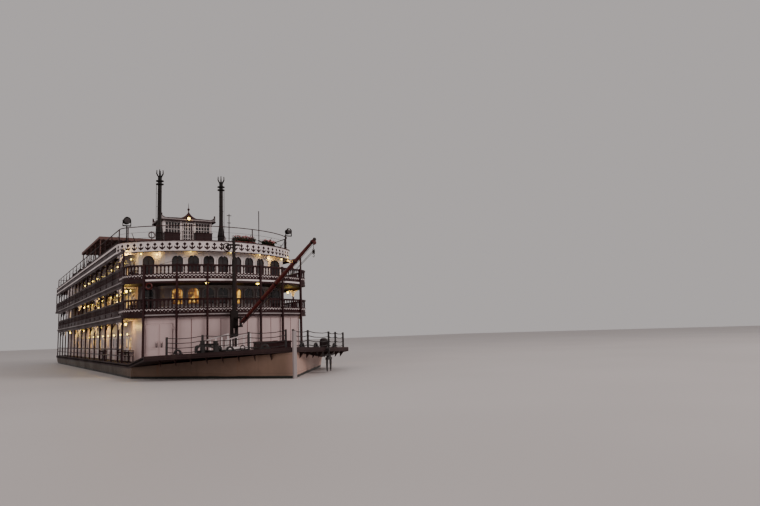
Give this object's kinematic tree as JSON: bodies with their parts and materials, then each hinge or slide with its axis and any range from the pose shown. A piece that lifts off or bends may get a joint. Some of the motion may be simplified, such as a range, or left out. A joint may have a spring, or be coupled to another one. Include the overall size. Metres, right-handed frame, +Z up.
{
  "type": "stern-wheel paddle steamer, scale model 1:2",
  "caption": "Three-deck stern-wheel river steamer, half size: flat-bottomed hull, galleried houses, pilothouse, funnels, bow boom and a turning paddle wheel.",
  "frame": {"origin": "centre of the bounding box in plan, on the flat hull bottom", "axes": "+X towards the bow, +Y to port, +Z up"},
  "size_m": [33.5266, 7.54, 9.7305],
  "materials": {
    "hull_cream": "satin",
    "deck_maroon": "matte",
    "house_white": "satin",
    "trim_maroon": "satin",
    "boom_red": "satin",
    "funnel_black": "satin",
    "awning_brown": "matte",
    "wheel_red": "painted",
    "deck_steel": "painted",
    "lamp_black": "satin"
  },
  "bodies": {
    "ship": {"hull": "hull_cream", "main_deck": "deck_maroon", "stem_post": "hull_cream", "main_house": "house_white", "engine": "deck_steel", "deck_2": "deck_maroon", "deck_3": "deck_maroon", "house_2": "house_white", "house_3": "house_white", "sun_deck": "deck_maroon", "stair_2": "trim_maroon", "stair_3": "trim_maroon", "sun_fascia": "house_white", "gallery_main_starboard": "trim_maroon", "gallery_2_starboard": "trim_maroon", "gallery_3_starboard": "trim_maroon", "sun_rail_starboard": "trim_maroon", "funnel_starboard": "funnel_black", "searchlight_starboard": "lamp_black", "chain_rail_starboard": "deck_steel", "wheel_arm_starboard": "hull_cream", "gallery_main_port": "trim_maroon", "gallery_2_port": "trim_maroon", "gallery_3_port": "trim_maroon", "sun_rail_port": "trim_maroon", "funnel_port": "funnel_black", "searchlight_port": "lamp_black", "chain_rail_port": "deck_steel", "wheel_arm_port": "hull_cream", "front_frame": "trim_maroon", "sun_rail_front": "trim_maroon", "aft_rail_2": "trim_maroon", "aft_rail_3": "trim_maroon", "aft_rail_sun": "trim_maroon", "pilothouse": "house_white", "pilothouse_roof": "trim_maroon", "awning": "awning_brown", "aerial_fore": "deck_steel", "aerial_whip": "deck_steel", "mast": "funnel_black", "stage": "house_white", "fore_hatch": "trim_maroon", "windlass": "boom_red", "bitts": "deck_steel", "anchor": "deck_steel"},
    "wheel": {"paddle_wheel": "wheel_red"},
    "starboard_rudder": {"rudder_starboard": "wheel_red"},
    "middle_rudder": {"rudder_middle": "wheel_red"},
    "port_rudder": {"rudder_port": "wheel_red"},
    "boom_swivel": {"gooseneck": "deck_steel"},
    "cargo_boom": {"boom": "boom_red"},
    "outer_fore_door": {"fore_door_outer": "house_white"},
    "inner_fore_door": {"fore_door_inner": "house_white"},
    "wheelhouse_door": {"pilothouse_door": "house_white"},
    "hatch_lid": {"fore_hatch_lid": "trim_maroon"}
  },
  "joints": [
    {"name": "wheel_turn", "type": "hinge", "parent": "ship", "child": "wheel", "pos_m": [-15.25, 0, 1.81], "axis": [0, 1, 0], "continuous": true},
    {"name": "rudder_steer", "type": "hinge", "parent": "ship", "child": "middle_rudder", "pos_m": [-12.6, 0, 0.3], "axis": [0, 0, 1], "range_deg": [-40, 40]},
    {"name": "rudder_starboard_steer", "type": "hinge", "parent": "ship", "child": "starboard_rudder", "pos_m": [-12.6, -1.8, 0.3], "axis": [0, 0, 1], "range_deg": [-40, 40]},
    {"name": "rudder_port_steer", "type": "hinge", "parent": "ship", "child": "port_rudder", "pos_m": [-12.6, 1.8, 0.3], "axis": [0, 0, 1], "range_deg": [-40, 40]},
    {"name": "boom_slew", "type": "hinge", "parent": "ship", "child": "boom_swivel", "pos_m": [11.975, 0, 2.475], "axis": [0, 0, 1], "range_deg": [-65, 47]},
    {"name": "boom_luff", "type": "hinge", "parent": "boom_swivel", "child": "cargo_boom", "pos_m": [12.1034, 0.02056, 2.475], "axis": [0.1582, -0.9874, 0], "range_deg": [-16, 34]},
    {"name": "outer_fore_door_swing", "type": "hinge", "parent": "ship", "child": "outer_fore_door", "pos_m": [10.47399, -3.06265, 1.8], "axis": [0, 0, -1], "range_deg": [0, 100]},
    {"name": "inner_fore_door_swing", "type": "hinge", "parent": "ship", "child": "inner_fore_door", "pos_m": [10.90954, -2.22361, 1.8], "axis": [0, 0, 1], "range_deg": [0, 100]},
    {"name": "pilothouse_door_swing", "type": "hinge", "parent": "ship", "child": "wheelhouse_door", "pos_m": [4.8475, -0.242, 6.4], "axis": [0, 0, -1], "range_deg": [0, 100]},
    {"name": "hatch_lid_lift", "type": "hinge", "parent": "ship", "child": "hatch_lid", "pos_m": [14.53, 0, 1.69946], "axis": [0, -1, 0], "range_deg": [0, 95]}
  ],
  "couplings": [
    {"joint": "rudder_starboard_steer", "follows": "rudder_steer", "ratio": 1},
    {"joint": "rudder_port_steer", "follows": "rudder_steer", "ratio": 1}
  ]
}
